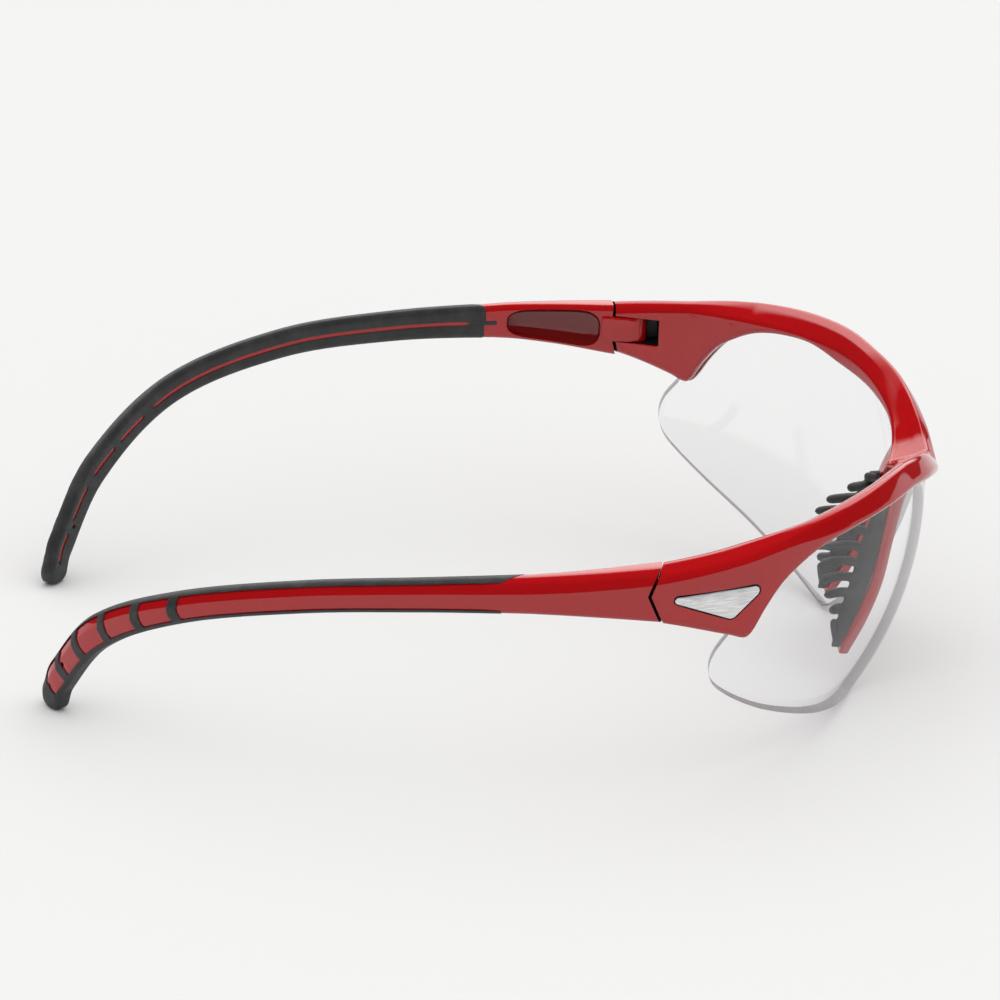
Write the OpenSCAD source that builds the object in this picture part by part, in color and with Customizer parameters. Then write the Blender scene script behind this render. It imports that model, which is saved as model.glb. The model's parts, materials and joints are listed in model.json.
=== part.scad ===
// Wraparound sports eye protector: one clear shield lens in a half frame with two folding temples.
// Millimetres. +X forward, +Y to the wearer's left, +Z up.
// Origin: centre of the footprint, on the surface that the lens edge and the temple tips rest on.

/* [Lens] */
// Outer radius of the spherical lens
lens_r = 67; // [66:0.5:68]
// Lens thickness
lens_t = 2.0; // [1.8:0.1:2.2]
// Height of the sphere's centre above the resting surface
lens_z = 36.6; // [36:0.1:37]
// How far the lens edge reaches into the frame groove
lens_bite = 2.0; // [1.8:0.1:2.2]

/* [Frame] */
// Radius of the lug's outer face
front_r_out = 69.3; // [69:0.1:69.5]
// Radius of the lug's inner face
lug_r_in = 63.5; // [63.3:0.1:63.7]
// Radius of the brow's inner face
brow_r_in = 62.6; // [62.2:0.1:62.8]
// Slack between the lens and its groove
groove_slack = 0.15; // [0.1:0.01:0.2]

/* [Hinges] */
// Hinge pin's distance in front of the origin
pin_x = 32.6; // [32.2:0.1:32.8]
// Hinge pin's distance from the middle plane
pin_y = 64.1; // [64:0.1:64.2]
// Diameter of the hinge screw's shank
shank_d = 1.5; // [1.4:0.05:1.6]
// Radius of the rounded end of the hinge tongue
tongue_r = 2.1; // [2:0.05:2.15]
// Height of the hinge tongue
tongue_h = 5.0; // [4.6:0.1:5]
// Width of the gap between lug and temple
split_gap = 0.8; // [0.6:0.1:1]

/* [Temples] */
// Wall of the soft grip on its inner face
grip_wall = 1.0; // [0.8:0.1:1.2]
// Width of the grip's rim above and below the core
grip_rim = 0.85; // [0.7:0.05:1]
// How far the core lies below the grip's outer face
core_sink = 0.3; // [0.2:0.05:0.4]
// Diameter of the cord hole near each tip
cord_d = 1.0; // [0.8:0.1:1.1]

/* [Nose pads] */
// Number of soft fins on each pad
fin_count = 8; // [6:1:8]
// Thickness of one fin
fin_t = 1.6; // [1.2:0.1:1.8]

/* [Hidden] */

frame_red = "firebrick";
rubber_black = [0.13, 0.13, 0.14];

// The sphere's centre sits so that the bridge and the temple tips are equally far from the origin.
lens_x = 16.5;
lens_r_in = lens_r - lens_t;

// Height of the front's top ridge at each angle from straight ahead
ridge_z = [[0, 42.4], [4, 43.6], [8, 45.7], [14, 48.5], [20, 50.5], [26, 51.7], [34, 52.4],
           [45, 51.9], [58, 50.1], [68, 48.2], [84, 45.9]];
// Height of the front's lower outer edge: bridge, brow, then the lug's slanted front and underside
edge_z = [[0, 38.1], [4, 39.3], [9, 41.6], [16, 44.3], [22, 46.0], [30, 47.0], [38, 47.3], [46, 46.8],
          [52, 45.6], [56, 43.6], [60, 40.3], [63, 35.9], [65.4, 31.4], [66.6, 30.7], [69, 31.7],
          [77, 34.6], [84, 36.6]];
// Height of the lens's hidden upper edge: above the brow's lower edge, then falling inside the lug
lens_top_z = concat([for (row = edge_z) if (row[0] <= 52) [row[0], row[1] + lens_bite]],
                    [[56, 45.6], [60, 43.0], [63, 40.0], [65.4, 36.2], [68, 31.2], [70, 27.2]]);
// How much further out than the lug the front stands
bulge = [[0, 0.3], [6, 0.1], [12, -0.2], [18, -0.3], [26, -0.8], [36, -0.3], [50, 0], [84, 0]];
// How far the outer crease and the inner crease lie below the ridge
outer_drop = [[0, 2.5], [8, 2.5], [20, 3.2], [34, 4.0], [46, 3.9], [52, 3.3], [58, 2.3], [66, 2.2],
              [84, 2.6]];
inner_drop = [[0, 2.5], [8, 2.5], [20, 2.9], [34, 3.4], [46, 3.2], [56, 2.4], [66, 1.7], [84, 1.7]];
// How far the bridge's web reaches back, and the angle at which it has faded out
web_reach = 3.0;
web_angle = 14;
// How far to each side the lens's upper edge is drawn in the front view
bridge_angle = 30;
// How far the front's inner lower edge lies above its outer one
inner_lift = [[0, 0], [12, 0], [22, -0.8], [32, -0.9], [40, 0.3], [46, 0.4], [57, 0.3], [64, 1.1], [84, 1.1]];
// Lower edge of the lens seen from the side, from its rear corner to the front, as [x, z]
lens_low = [[41.0, 31.0], [38.6, 27.6], [37.6, 24.2], [38.4, 20.6], [41.5, 17.2], [47.5, 12.6],
            [54.9, 8.0], [62.0, 3.6], [67.0, 1.0], [72, 0]];

// Temple centre line: distance from the lug, then x, y and z
path = [[0, 27.6, 65.4, 41.0], [11.1, 16.5, 66.9, 41.3], [22.3, 5.3, 67.5, 41.3],
        [44.5, -16.8, 66.0, 40.3], [66.9, -38.7, 62.0, 37.9], [91.2, -60.5, 53.0, 31.6],
        [113.9, -75.3, 39.4, 20.4], [131.2, -82.2, 30.6, 7.4], [136.2, -83.3, 28.9, 2.9]];
// Height and thickness of the temple along that line
temple_h = [[0, 10.4], [11, 8.5], [22, 7.1], [33, 6.5], [45, 6.1], [67, 5.8], [91, 5.8], [114, 6.6],
            [136, 6.8]];
temple_t = [[0, 5.8], [11, 5.1], [22, 4.4], [45, 3.8], [91, 3.5], [136, 3.5]];
// How far the temple's outer crease lies below its top
temple_drop = [[0, 2.5], [11, 2.6], [22, 2.6], [45, 2.1], [91, 2.0], [136, 2.2]];
path_end = 136.2;
tip_r = 2.8;
grip_start = 25;
core_end = 133.5;
band_places = [92.4, 101.6, 111.3, 120.5, 128.5];
band_w = 1.6;
cord_place = 126.9;
hollow_place = 13.5;
hollow_l = 19;
hollow_h = 3.8;
hollow_floor = 1.6;

// Nose arm: height, then x, y, half width and half thickness
arm = [[6.4, 68.2, 14.4, 1.6, 0.9], [13, 71.4, 13.2, 2.2, 1.0], [20, 74.2, 11.6, 2.2, 1.0],
       [28, 76.0, 9.9, 2.2, 1.0], [35, 77.6, 8.0, 2.5, 1.1], [41.4, 79.8, 6.1, 2.4, 1.1]];
// Nose pad base: height, then how far it reaches behind the arm
pad_reach = [[7, 1.6], [13, 3.2], [20, 3.8], [27, 3.6], [34, 2.2]];
pad_half_t = 0.75;
pad_gap = 0.06;
pad_inset = 0.4;
fin_pitch = 2.9;
fin_top_z = 34.4;
// How far back each fin's end lies, by height
fin_end_x = [[12, 65.4], [17, 63.4], [22, 62.4], [26, 63.2], [29, 65.4], [31.5, 68.9], [35, 72.8]];

// Rounded-triangle badge in the lug's side: corner centres as [x, z, corner radius]
badge_corners = [[30.9, 40.3, 0.7], [41.0, 36.8, 1.3], [45.2, 40.3, 1.1]];
badge_depth = 0.35;
badge_stand = 0.12;

screw_top = 45.2;
screw_seat = 36.6;
head_d = 2.6;
head_h = 1.0;
slot_end_x = 36.8;
slot_mid_z = 41.4;
hinge_gap = 0.1;
slot_wall_gap = 0.15;
slot_reach = 12;
room_gap = 0.08;
lug_bore_gap = 0.02;
tongue_bore_gap = 0.05;
// Line of the split between lug and temple, as top, point and bottom in [x, z], on the inner face
// and on the outer face, and how far from the middle plane each of the two applies
split_inside = [[28.6, 49], [27.5, 41.3], [29.4, 33]];
split_outside = [[28.2, 49], [25.4, 41.3], [29.0, 33]];
split_depths = [62.5, 68.5];

// Smooth curve through the rows of a table, read from column c
function slope(t, i, c) = i == 0 ? (t[1][c] - t[0][c]) / (t[1][0] - t[0][0])
    : i == len(t) - 1 ? (t[i][c] - t[i - 1][c]) / (t[i][0] - t[i - 1][0])
    : (t[i + 1][c] - t[i - 1][c]) / (t[i + 1][0] - t[i - 1][0]);
function row_at(t, x, i = 0) = i >= len(t) - 2 || x <= t[i + 1][0] ? i : row_at(t, x, i + 1);
function ease(a, b, ma, mb, u) =
    a * (2 * pow(u, 3) - 3 * u * u + 1) + ma * (pow(u, 3) - 2 * u * u + u)
    + b * (3 * u * u - 2 * pow(u, 3)) + mb * (pow(u, 3) - u * u);
function curve(t, x, c = 1) = let (i = row_at(t, x), w = t[i + 1][0] - t[i][0])
    ease(t[i][c], t[i + 1][c], slope(t, i, c) * w, slope(t, i + 1, c) * w, (x - t[i][0]) / w);

// Solid skin over a row of rings that all have the same number of points
function turned(v) = [for (i = [len(v) - 1:-1:0]) v[i]];
function ring_normal(r, i = 0) = i >= len(r) - 1 ? [0, 0, 0]
    : cross(r[i] - r[0], r[i + 1] - r[0]) + ring_normal(r, i + 1);
module loft(rings) {
    n = len(rings[0]);
    last = (len(rings) - 1) * n;
    ahead = ring_normal(rings[0]) * (rings[1][0] - rings[0][0]);
    points = [for (r = rings) each (ahead > 0 ? turned(r) : r)];
    sides = [for (i = [0:len(rings) - 2], j = [0:n - 1])
        let (a = i * n + j, b = i * n + (j + 1) % n)
        each [[a, b, b + n], [a, b + n, a + n]]];
    ends = [[for (j = [n - 1:-1:0]) j], [for (j = [0:n - 1]) last + j]];
    polyhedron(points, concat(ends, sides), convexity = 12);
}

module mirrored(side) {
    mirror([0, side < 0 ? 1 : 0, 0]) children();
}

// Places a profile drawn in [radius, height] on the front's curve
function around(profile, a) = [for (p = profile) [lens_x + p[0] * cos(a), p[0] * sin(a), p[1]]];
function sphere_r(r, z) = sqrt(r * r - pow(z - lens_z, 2));

function outer_r(a) = front_r_out + curve(bulge, a);
// How much of the lug's or of the brow's shape the front has at an angle, from 0 to 1
function lug_share(a) = min(1, max(0, (a - 58) / 8));
function brow_share(a) = min(1, max(0, (66 - a) / 12));
function groove_z(a) = max(curve(edge_z, a) + 0.3, a > 69.5 ? 0 : curve(lens_top_z, a) + 2 * groove_slack);

// Cross-section of the front at angle a: a rounded bar with the lens groove in its underside
function front_profile(a) = let (
        top = curve(ridge_z, a),
        low = curve(edge_z, a),
        ro = outer_r(a),
        drop = curve(outer_drop, a),
        web = web_reach * pow(max(0, 1 - a / web_angle), 2),
        ri = brow_r_in + (lug_r_in - brow_r_in) * lug_share(a) - web,
        lift = curve(inner_lift, a),
        brow = brow_share(a),
        rt = ro - 3.6 + 1.15 * brow,
        g = groove_z(a))
    [[ri + 0.6, low + lift], [ri, low + lift + 0.8], [ri + 0.1 + 0.2 * web, top - curve(inner_drop, a)],
     [rt - 0.8 - 0.8 * brow, top - 0.3 - 0.6 * brow], [rt, top],
     [ro - 0.8 - 0.25 * brow, top - 1.2 + 0.7 * brow], [ro, top - drop], [ro - 0.1, low + 0.8],
     [ro - 0.7, low],
     [sphere_r(lens_r, low) + groove_slack, low + 0.05], [sphere_r(lens_r, g) + groove_slack, g],
     [sphere_r(lens_r_in, g) - groove_slack, g],
     [sphere_r(lens_r_in, low + lift) - groove_slack, low + 0.75 * lift]];

front_angles = concat([for (a = [0:2:16]) a], [for (a = [19:3.5:54]) a],
                      [for (a = [56:1.7:72]) a], [75, 78, 81, 84]);
front_stations = concat([for (i = [len(front_angles) - 1:-1:1]) -front_angles[i]], front_angles);

// One ring of the nose arm at height z
function arm_ring(z) = let (
        x = curve(arm, z, 1), y = curve(arm, z, 2), hw = curve(arm, z, 3), ht = curve(arm, z, 4))
    [for (q = chamfered(ht, hw, 0.5)) [x + q[0], y + q[1], z]];
// Rectangle with cut corners, from half its sizes
function chamfered(p, q, c) = [[-p, -q + c], [-p, q - c], [-p + c, q], [p - c, q], [p, q - c], [p, -q + c],
                               [p - c, -q], [-p + c, -q]];

function arm_height(k) = let (i = min(floor(k), len(arm) - 2))
    arm[i][0] + (k - i) * (arm[i + 1][0] - arm[i][0]);

module nose_arm(side) {
    mirrored(side) loft([for (k = [0:0.5:len(arm) - 1]) arm_ring(arm_height(k))]);
}

// Everything behind the left split, moved forward by shift
module behind_split(shift) {
    loft([for (y = [20, split_depths[0], split_depths[1], 95])
        [for (p = concat(y > split_depths[0] ? split_outside : split_inside, [[-20, 33], [-20, 49]]))
            [p[0] + shift, y, p[1]]]]);
}

module hinge_cuts(side) {
    mirrored(side) {
        translate([pin_x, pin_y, slot_mid_z - tongue_h / 2 - hinge_gap]) {
            cylinder(r = tongue_r + slot_wall_gap, h = tongue_h + 2 * hinge_gap, $fn = 64);
            translate([-slot_reach, -slot_reach, 0])
                cube([slot_reach, slot_reach + tongue_r + slot_wall_gap, tongue_h + 2 * hinge_gap]);
            translate([0, -slot_reach, 0])
                cube([slot_end_x - pin_x, slot_reach + 0.6, tongue_h + 2 * hinge_gap]);
        }
        translate([pin_x, pin_y, screw_seat - 8]) cylinder(d = head_d + 0.2, h = 8, $fn = 48);
        translate([pin_x, pin_y, screw_seat - 1])
            cylinder(d = shank_d + 2 * lug_bore_gap, h = screw_top + 1.2 - screw_seat, $fn = 48);
    }
}

// Points of a rounded polygon from [x, z, radius] corners listed anticlockwise
function unit(v) = v / norm(v);
function round_corner(a, b, c, n = 8) = let (
        p = [b[0], b[1]],
        in = unit(p - [a[0], a[1]]), out = unit([c[0], c[1]] - p),
        from = atan2(-in[0], in[1]), to0 = atan2(-out[0], out[1]), to = to0 < from ? to0 + 360 : to0)
    [for (k = [0:n]) let (q = from + (to - from) * k / n) p + b[2] * [cos(q), sin(q)]];
function rounded(c, grow) = let (n = len(c))
    [for (i = [0:n - 1]) let (g = [for (k = [i + n - 1, i, i + 1]) c[k % n] + [0, 0, grow]])
        each round_corner(g[0], g[1], g[2])];

// Curved plate that follows the lug's face, between two radii
module badge_blank(side, grow, r_low, r_high) {
    mirrored(side) intersection() {
        translate([lens_x, 0, 30]) difference() {
            cylinder(r = r_high, h = 16, $fn = 180);
            translate([0, 0, -1]) cylinder(r = r_low, h = 18, $fn = 180);
        }
        translate([0, 80, 0]) rotate([90, 0, 0]) linear_extrude(height = 40)
            polygon(rounded(badge_corners, grow));
    }
}

// Room for the lens inside the front, slightly larger than the lens
module lens_room() {
    difference() {
        intersection() {
            lens_shell(room_gap);
            rotate([90, 0, 0]) linear_extrude(height = 160, center = true)
                polygon(lens_side(2 * groove_slack));
        }
        above_lens(2 * groove_slack);
    }
}

// Everything above the lens's upper edge near the bridge, where the front view shows that edge best
module above_lens(rise) {
    translate([lens_x + 30, 0, 0]) rotate([90, 0, 90]) linear_extrude(height = 60)
        polygon(concat([for (a = [-bridge_angle:3:bridge_angle]) let (z = curve(lens_top_z, abs(a)))
                            [sphere_r(lens_r - lens_t / 2, z) * sin(a), z + rise]],
                       [[34, 62], [-34, 62]]));
}

module front_frame() {
    color(frame_red) difference() {
        union() {
            loft([for (a = front_stations) around(front_profile(abs(a)), a)]);
            nose_arm(1);
            nose_arm(-1);
        }
        lens_room();
        for (side = [-1, 1]) {
            mirrored(side) behind_split(split_gap / 2);
            hinge_cuts(side);
            badge_blank(side, 0.1, front_r_out - badge_depth - 0.05, front_r_out + 2);
        }
    }
}

// Side outline of the lens: hidden upper edge, raised by rise, then the visible lower edge
lens_angles = [each [0:2:54], each [56:1.7:68]];
function lens_top_side(rise) = [for (a = lens_angles) let (z = curve(lens_top_z, a))
    [lens_x + sphere_r(lens_r - lens_t / 2, z) * cos(a), z + rise]];
lens_low_index = [for (i = [0:len(lens_low) - 1]) [i, lens_low[i][0], lens_low[i][1]]];
lens_edge_points = concat([for (i = [0:0.25:len(lens_low) - 1])
    [curve(lens_low_index, i, 1), curve(lens_low_index, i, 2)]], [[lens_x + lens_r + 2, 0]]);
function lens_side(rise) = let (top = lens_top_side(rise))
    concat([[lens_x + lens_r + 2, top[0][1]]], top, lens_edge_points);

// Spherical shell of the lens, thickened on both faces by gap
module lens_shell(gap) {
    translate([lens_x, 0, lens_z]) difference() {
        sphere(r = lens_r + gap, $fn = 120);
        sphere(r = lens_r_in - gap, $fn = 120);
    }
}

// Half of the nose notch outline in the front view, from the bottom up, as [height, half width]
notch = [[-2, 24], [0.5, 19.5], [3, 16.8], [8, 14.6], [16, 12.3], [24, 10.0], [30, 7.6], [33.6, 4.4],
         [34.6, 0]];
notch_side = [for (i = [0:len(notch) - 1]) [i, notch[i][0], notch[i][1]]];
notch_half = [for (i = [0:0.25:len(notch) - 1]) [curve(notch_side, i, 2), curve(notch_side, i, 1)]];
notch_mirrored = [for (p = notch_half) [-p[0], p[1]]];
notch_outline = concat(notch_half, [for (i = [len(notch_half) - 2:-1:0]) notch_mirrored[i]]);

module lens() {
    color([0.86, 0.93, 0.96, 0.35]) difference() {
        intersection() {
            lens_shell(0);
            rotate([90, 0, 0]) linear_extrude(height = 160, center = true) polygon(lens_side(0));
        }
        translate([lens_x, 0, 0]) rotate([90, 0, 90]) linear_extrude(height = 80) polygon(notch_outline);
        above_lens(0);
    }
}

module badge_plate(side) {
    color("silver") badge_blank(side, 0, front_r_out - badge_depth, front_r_out + badge_stand);
}
module badge_plate_right() { badge_plate(-1); }
module badge_plate_left() { badge_plate(1); }

// One ring of the pad's base, close behind the arm
function pad_ring(z) = let (
        x = curve(arm, z, 1) - curve(arm, z, 4) - pad_gap,
        y = curve(arm, z, 2) - pad_inset,
        d = curve(pad_reach, z),
        thin = 0.6 * pad_half_t)
    [[x, y - pad_half_t, z], [x, y + pad_half_t, z], [x - d, y + thin, z], [x - d, y - thin, z]];

module nose_pad(side) {
    mirrored(side) color(rubber_black) {
        loft([for (z = [7:3:34]) pad_ring(z)]);
        for (k = [0:fin_count - 1]) {
            z = fin_top_z - k * fin_pitch;
            root_z = min(z, 33);
            x = curve(arm, root_z, 1) - curve(arm, root_z, 4) - 0.8 * curve(pad_reach, root_z);
            y = curve(arm, root_z, 2) - pad_inset;
            hull() {
                translate([max(x, fin_end_x_at(z) + 2), y, root_z]) sphere(d = fin_t, $fn = 12);
                translate([fin_end_x_at(z) + fin_t, 5.8 + 1.1 * k, z]) sphere(d = fin_t, $fn = 12);
                translate([fin_end_x_at(z) + 2 * fin_t, 7.6 + 1.1 * k, z]) sphere(d = fin_t, $fn = 12);
            }
        }
        hull() {
            translate([66.6, 14.2, 8.6]) sphere(d = 1.2, $fn = 12);
            translate([66.5, 13.6, 12.4]) sphere(d = 1.6, $fn = 12);
        }
    }
}
function fin_end_x_at(z) = curve(fin_end_x, z);
module nose_pad_right() { nose_pad(-1); }
module nose_pad_left() { nose_pad(1); }

module hinge_screw(side) {
    mirrored(side) color("dimgray") translate([pin_x, pin_y, 0]) difference() {
        union() {
            translate([0, 0, screw_seat - head_h]) cylinder(d = head_d, h = head_h, $fn = 48);
            translate([0, 0, screw_seat - 0.2])
                cylinder(d = shank_d, h = screw_top + 0.2 - screw_seat, $fn = 48);
        }
        translate([-head_d, -0.2, screw_seat - head_h - 1]) cube([2 * head_d, 0.4, 1.45]);
    }
}
module hinge_screw_right() { hinge_screw(-1); }
module hinge_screw_left() { hinge_screw(1); }

function path_point(s) = [curve(path, s, 1), curve(path, s, 2), curve(path, s, 3)];
function path_dir(s) = unit(path_point(s + 0.5) - path_point(s - 0.5));
function path_out(s) = let (d = path_dir(s)) unit([d[1], -d[0], 0]);
function path_up(s) = cross(path_out(s), path_dir(s));
// Rounding of the tip: how much of the full height is left at distance s
function tip_share(s) = s <= path_end ? 1 : sqrt(max(0.02, 1 - pow((s - path_end) / tip_r, 2)));
function place(profile, s) = let (
        on = min(s, path_end),
        p = path_point(on) + path_dir(path_end) * max(0, s - path_end),
        o = path_out(on), u = path_up(on))
    [for (q = profile) p + q[0] * o + q[1] * u];

// Full outer skin of the temple in [outwards, up]: a bar with eased corners and a bevelled top
function half_t(s) = curve(temple_t, min(s, path_end)) / 2 * (0.55 + 0.45 * tip_share(s));
function skin(s) = let (
        t = half_t(s),
        h = curve(temple_h, min(s, path_end)) / 2 * tip_share(s),
        e = min(0.8, 0.45 * h),
        drop = curve(temple_drop, min(s, path_end)) * tip_share(s))
    [[t, -h + e], [t - 0.8 * e, -h], [-t + 0.8 * e, -h], [-t, -h + e],
     [-t, h - e], [-t + 0.9 * e, h], [t - 0.9 * drop, h], [t - 0.35 * drop, h - 0.3 * drop], [t, h - drop]];
// Core bar inside the grip
function core_bar(s, slack) = let (
        t = curve(temple_t, s) / 2,
        h = curve(temple_h, s) / 2,
        w = h - grip_rim - slack,
        ti = -t + grip_wall + slack,
        to = t - core_sink)
    [[to, -w + 0.3], [to - 0.3, -w], [ti + 0.3, -w], [ti, -w + 0.3], [ti, w - 0.3], [ti + 0.3, w],
     [to - 0.7, w], [to, h - curve(temple_drop, s) - 0.1]];

core_slack = 0.04;
front_steps = [for (s = [-3:3.5:grip_start - 1]) s];
tip_steps = concat([core_end + 0.15, core_end + 0.4], [for (k = [0, 0.36, 0.68, 0.9]) path_end + k * tip_r]);
grip_steps = concat([for (s = [grip_start:5.5:88]) s], [for (s = [91:3:path_end]) s]);

module hinge_tongue() {
    translate([pin_x, pin_y, slot_mid_z - tongue_h / 2]) {
        cylinder(r = tongue_r, h = tongue_h, $fn = 64);
        translate([-7, -tongue_r, 0]) cube([7, 2 * tongue_r, tongue_h]);
    }
}

// Long shallow hollow in the temple's inner face, behind the hinge
module inner_hollow() {
    d = path_dir(hollow_place);
    translate(path_point(hollow_place)) rotate([0, 0, atan2(-d[1], -d[0])])
        translate([0, -hollow_floor, 0]) rotate([90, 0, 0]) linear_extrude(height = 4) {
            square([hollow_l - hollow_h, hollow_h], center = true);
            for (end = [-1, 1])
                translate([end * (hollow_l - hollow_h) / 2, 0]) circle(d = hollow_h, $fn = 48);
        }
}

module cord_bore() {
    o = path_out(cord_place);
    translate(path_point(cord_place)) rotate([0, 0, atan2(o[1], o[0])]) rotate([0, 90, 0])
        cylinder(d = cord_d, h = 12, center = true, $fn = 40);
}

module temple_core(side) {
    mirrored(side) color(frame_red) difference() {
        union() {
            intersection() {
                loft([for (s = concat(front_steps, [grip_start - 0.05])) place(skin(s), s)]);
                behind_split(-split_gap / 2);
            }
            loft([for (s = concat([grip_start - 1], [for (g = grip_steps) if (g < core_end) g], [core_end]))
                place(core_bar(s, core_slack), s)]);
            hinge_tongue();
        }
        translate([pin_x, pin_y, slot_mid_z - tongue_h])
            cylinder(d = shank_d + 2 * tongue_bore_gap, h = 2 * tongue_h, $fn = 48);
        inner_hollow();
        cord_bore();
    }
}
module temple_core_right() { temple_core(-1); }
module temple_core_left() { temple_core(1); }

// Grip cross-section: the full skin with a channel for the core that opens outwards
function grip_profile(s) = let (q = skin(s), t = half_t(s),
        w = (curve(temple_h, min(s, path_end)) / 2 - grip_rim) * tip_share(s),
        floor_t = s > core_end + 0.2 ? t - 0.25 : -t + grip_wall)
    [q[0] + [0, min(0, -w - 0.1 - q[0][1])], q[1], q[2], q[3], q[4], q[5], q[6],
     [q[7][0], max(q[7][1], w + 0.15)], [q[7][0] + 0.02, w], [floor_t, w], [floor_t, -w], [t - 0.02, -w]];

// Cross-section of a band: the space between the core's outer face and the full skin
function band_profile(s) = let (
        t = curve(temple_t, s) / 2,
        h = curve(temple_h, s) / 2,
        drop = curve(temple_drop, s),
        to = t - core_sink + core_slack)
    [[to, -h + grip_rim / 2], [t, -h + grip_rim / 2], [t, h - drop], [t - 0.35 * drop, h - 0.3 * drop],
     [to - 0.7 + core_slack, h - grip_rim / 2], [to - 0.7 + core_slack, h - grip_rim],
     [to, h - drop]];

module grip_band(s) {
    o = path_out(s);
    u = path_up(s);
    d = path_dir(s);
    p = path_point(s);
    multmatrix([[o[0], d[0], u[0], p[0]], [o[1], d[1], u[1], p[1]], [o[2], d[2], u[2], p[2]]])
        rotate([90, 0, 0]) linear_extrude(height = band_w, center = true) polygon(band_profile(s));
}

module temple_grip(side) {
    mirrored(side) color(rubber_black) difference() {
        union() {
            loft([for (s = concat([for (g = grip_steps) if (g < core_end) g], tip_steps))
                place(grip_profile(s), s)]);
            for (s = band_places) grip_band(s);
        }
        cord_bore();
    }
}
module temple_grip_right() { temple_grip(-1); }
module temple_grip_left() { temple_grip(1); }

front_frame();
lens();
badge_plate_right();
badge_plate_left();
nose_pad_right();
nose_pad_left();
hinge_screw_right();
hinge_screw_left();
temple_core_right();
temple_core_left();
temple_grip_right();
temple_grip_left();
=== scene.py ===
import json
import math

import bmesh
import bpy
import numpy as np
from mathutils import Matrix, Vector

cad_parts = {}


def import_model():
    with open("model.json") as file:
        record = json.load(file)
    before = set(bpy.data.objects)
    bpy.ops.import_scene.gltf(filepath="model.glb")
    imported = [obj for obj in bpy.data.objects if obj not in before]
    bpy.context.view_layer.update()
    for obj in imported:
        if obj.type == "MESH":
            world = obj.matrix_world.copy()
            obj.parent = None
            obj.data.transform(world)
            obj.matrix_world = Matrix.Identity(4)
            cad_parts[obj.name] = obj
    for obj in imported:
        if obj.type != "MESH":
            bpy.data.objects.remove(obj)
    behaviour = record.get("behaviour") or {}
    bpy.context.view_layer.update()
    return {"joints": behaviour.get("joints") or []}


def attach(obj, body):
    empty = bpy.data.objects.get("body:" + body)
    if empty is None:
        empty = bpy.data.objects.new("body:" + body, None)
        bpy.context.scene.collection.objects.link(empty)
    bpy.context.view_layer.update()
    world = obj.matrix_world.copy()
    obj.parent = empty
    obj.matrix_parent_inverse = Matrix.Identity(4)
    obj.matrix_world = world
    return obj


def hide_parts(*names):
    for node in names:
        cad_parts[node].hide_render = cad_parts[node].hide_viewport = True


# Lengths are millimetres in the CAD frame until a mesh is made; +X forward, +Y wearer's left, +Z up.
MM = 0.001

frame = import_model()
joints = {j["name"]: j for j in frame["joints"]}
SIDES = {"right": -1, "left": 1}


def cad_mm(vector):
    """A place of the record in millimetres."""
    return np.array(vector, float) / MM


# ---- Driving sizes, the same ones as the CAD part ----

LENS_R = 67.0
LENS_T = 2.0
LENS_X = 16.5
LENS_Z = 36.6
LENS_BITE = 2.0
FRONT_R_OUT = 69.3
LUG_R_IN = 63.5
BROW_R_IN = 62.6
WEB_REACH = 3.0
WEB_ANGLE = 14.0
BRIDGE_ANGLE = 30.0
# Angles between which the lug's section turns into the brow's, the wall thins and the shoulder flattens
BROW_ANGLES = (66, 54)
WALL_ANGLES = (58, 66)
FLAT_ANGLES = (46, 26)
# Angle to which the front is made before the joint with the temple cuts it
FRONT_END = 84
# Half width of cutting shapes that pass right through the object
BEYOND = 95
# The shell that the lens is cut from: heights and half its angle
SHELL_HEIGHTS = (-2.5, 51)
SHELL_ANGLE = 77
# Half width and top of the cutter above the lens
ABOVE_Y = 34
ABOVE_Z = 62
# Play round the lens in its groove, and above its hidden upper edge
ROOM_GAP = 0.1
ROOM_RISE = 0.3

pin = cad_mm(joints["left_hinge"].get("pos_m") or joints["left_hinge"]["origin_m"])
PIN_X = float(pin[0])
PIN_Y = float(pin[1])
SLOT_Z = float(pin[2])
SHANK_D = 1.5
TONGUE_R = 2.1
TONGUE_H = 5.0
SLOT_GAP = 0.15
TONGUE_GAP = 0.22
SLOT_END_X = 36.8
SLOT_REACH = 12.0
SLOT_STEP = 0.6
SLOT_LAP = 0.5
TONGUE_BAR = 7.0
# Gap between lug and temple at the faces, and the share of it that is left halfway through
SPLIT_GAP = 0.66
SPLIT_WAIST = 0.06
# That joint's bend in the side view on its inner and outer face, and how far from the middle these lie
SPLIT_INSIDE = [(28.6, 49.0), (27.5, 41.3), (29.4, 33.0)]
SPLIT_OUTSIDE = [(28.2, 49.0), (25.4, 41.3), (29.0, 33.0)]
SPLIT_DEPTHS = (62.5, 68.5)
# Behind this x the cutter of that joint gives way to a plain block
KEEP_X = -20
SCREW_TOP = 45.2
SCREW_SEAT = 36.6
HEAD_D = 2.6
HEAD_H = 1.0
HEAD_ROOM = 8
HEAD_PLAY = 0.1
SHANK_PLAY = 0.02
PIN_PLAY = 0.05

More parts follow.
